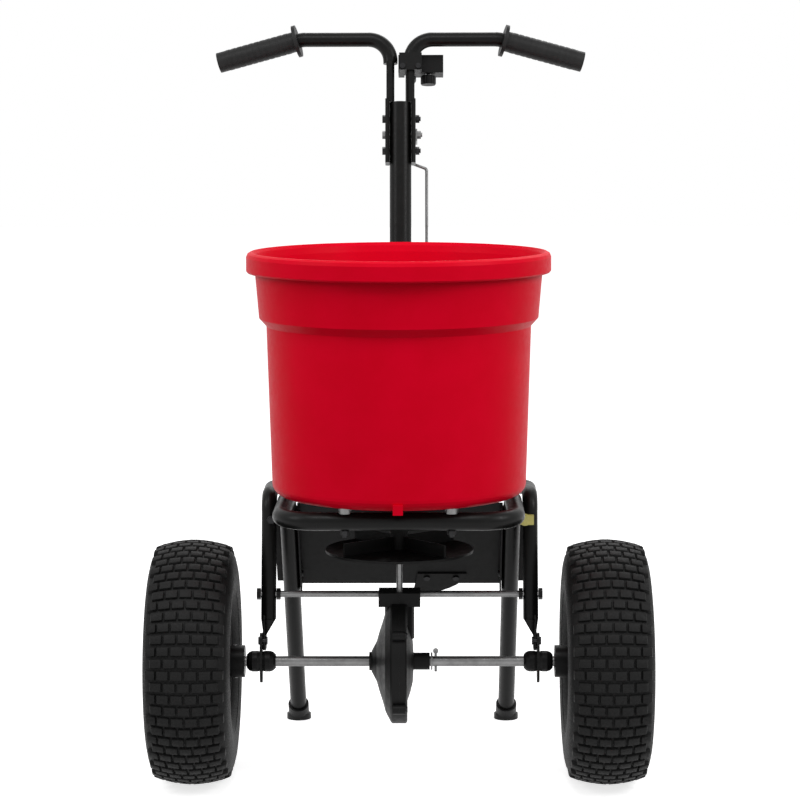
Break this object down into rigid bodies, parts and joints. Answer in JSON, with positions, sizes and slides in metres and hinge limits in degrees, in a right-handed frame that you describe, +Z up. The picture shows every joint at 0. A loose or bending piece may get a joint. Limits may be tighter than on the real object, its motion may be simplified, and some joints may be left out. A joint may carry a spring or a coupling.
{
  "type": "garden spreader",
  "caption": "Walk-behind broadcast spreader: round hopper on a bent tube frame, pneumatic wheels driving a spinning impeller, rate lever and floor gate.",
  "frame": {"origin": "on the ground, midway between the outermost points in X and in Y", "axes": "+Z up, -Y the front (the wheels' side), +Y towards the person pushing, +X to the right when seen from the front"},
  "size_m": [0.621, 0.5335, 0.9484],
  "materials": {
    "red_plastic": "moulded, semi-gloss",
    "black_tube": "black powder coat",
    "plated_steel": "bright zinc plate",
    "black_plastic": "moulded black",
    "grip_rubber": "soft black rubber",
    "tyre_rubber": "dusty black tread rubber",
    "rim_paint": "black enamel",
    "yellow_plastic": "pale yellow moulding",
    "black_steel": "black oxide",
    "nylon": "black nylon"
  },
  "bodies": {
    "frame": {"leg_frame": "black_tube", "foot_left": "grip_rubber", "foot_right": "grip_rubber", "side_tube_left": "black_tube", "side_tube_right": "black_tube", "axle_plate_left": "black_tube", "axle_plate_right": "black_tube", "axle_bearing_left": "nylon", "axle_bearing_right": "nylon", "plate_rivets": "black_steel", "side_brackets": "black_tube", "side_bolts": "black_steel", "thumb_nut": "yellow_plastic", "gearbox_hanger": "plated_steel", "hanger_nuts": "black_tube", "gearbox_left": "black_plastic", "gearbox_right": "black_plastic", "gearbox_screws": "black_steel", "hopper": "red_plastic", "hopper_spacers": "plated_steel", "hopper_bolts": "black_steel", "hopper_bracket": "black_tube", "shaft_bush": "nylon", "gate_guide": "black_plastic", "deflector_shield": "black_plastic", "spread_baffle": "black_plastic", "small_screws": "black_steel", "upright": "black_tube", "upright_bolts": "black_steel", "handlebar_left": "black_tube", "handlebar_right": "black_tube", "grip_left": "grip_rubber", "grip_right": "grip_rubber", "handle_bolts": "black_steel", "rod_guide": "plated_steel", "gauge_housing": "black_plastic", "gauge_clamp": "black_plastic", "gauge_screws": "black_steel"},
    "drive_axle": {"axle": "plated_steel", "ring_gear": "nylon", "axle_washers": "plated_steel", "axle_pins": "plated_steel", "wheel_rim_left": "rim_paint", "tyre_left": "tyre_rubber", "valve_left": "grip_rubber"},
    "wheel_right": {"wheel_rim_right": "rim_paint", "tyre_right": "tyre_rubber", "valve_right": "grip_rubber", "wheel_bushes": "nylon"},
    "spinner": {"impeller": "black_plastic", "impeller_shaft": "plated_steel", "pinion": "plated_steel", "agitator": "plated_steel"},
    "lever": {"gate_lever": "plated_steel", "lever_knob": "black_plastic"},
    "rod": {"control_rod": "plated_steel"},
    "crank": {"gate_crank": "plated_steel"},
    "gate": {"gate_plate": "plated_steel"},
    "stop": {"rate_stop": "plated_steel", "stop_knob": "black_plastic"}
  },
  "joints": [
    {"name": "axle_spin", "type": "hinge", "parent": "frame", "child": "drive_axle", "pos_m": [0, -0.07875, 0.1525], "axis": [1, 0, 0], "continuous": true},
    {"name": "right_wheel_spin", "type": "hinge", "parent": "frame", "child": "wheel_right", "pos_m": [0.2575, -0.07875, 0.1525], "axis": [1, 0, 0], "continuous": true},
    {"name": "impeller_spin", "type": "hinge", "parent": "frame", "child": "spinner", "pos_m": [0, -0.07875, 0.2925], "axis": [0, 0, 1], "continuous": true},
    {"name": "rate_lever", "type": "hinge", "parent": "frame", "child": "lever", "pos_m": [0.014, 0.24126, 0.88426], "axis": [1, 0, 0], "range_deg": [0, 44]},
    {"name": "rod_slide", "type": "slide", "parent": "frame", "child": "rod", "axis": [0, -0.2079, -0.9781], "range_m": [0, 0.0154]},
    {"name": "crank_turn", "type": "hinge", "parent": "frame", "child": "crank", "pos_m": [0.03, 0.06375, 0.31849], "axis": [-1, 0, 0], "range_deg": [0, 24.5]},
    {"name": "gate_slide", "type": "slide", "parent": "frame", "child": "gate", "axis": [0, 1, 0], "range_m": [0, 0.0145]},
    {"name": "stop_slide", "type": "slide", "parent": "frame", "child": "stop", "axis": [0, 0.9781, -0.2079], "range_m": [0, 0.012]}
  ],
  "couplings": [
    {"joint": "impeller_spin", "follows": "axle_spin", "ratio": 5},
    {"joint": "rate_lever", "follows": "gate_slide", "rad_per_m": 52.941},
    {"joint": "rod_slide", "follows": "gate_slide", "ratio": 1.0588},
    {"joint": "crank_turn", "follows": "gate_slide", "rad_per_m": 29.412}
  ]
}
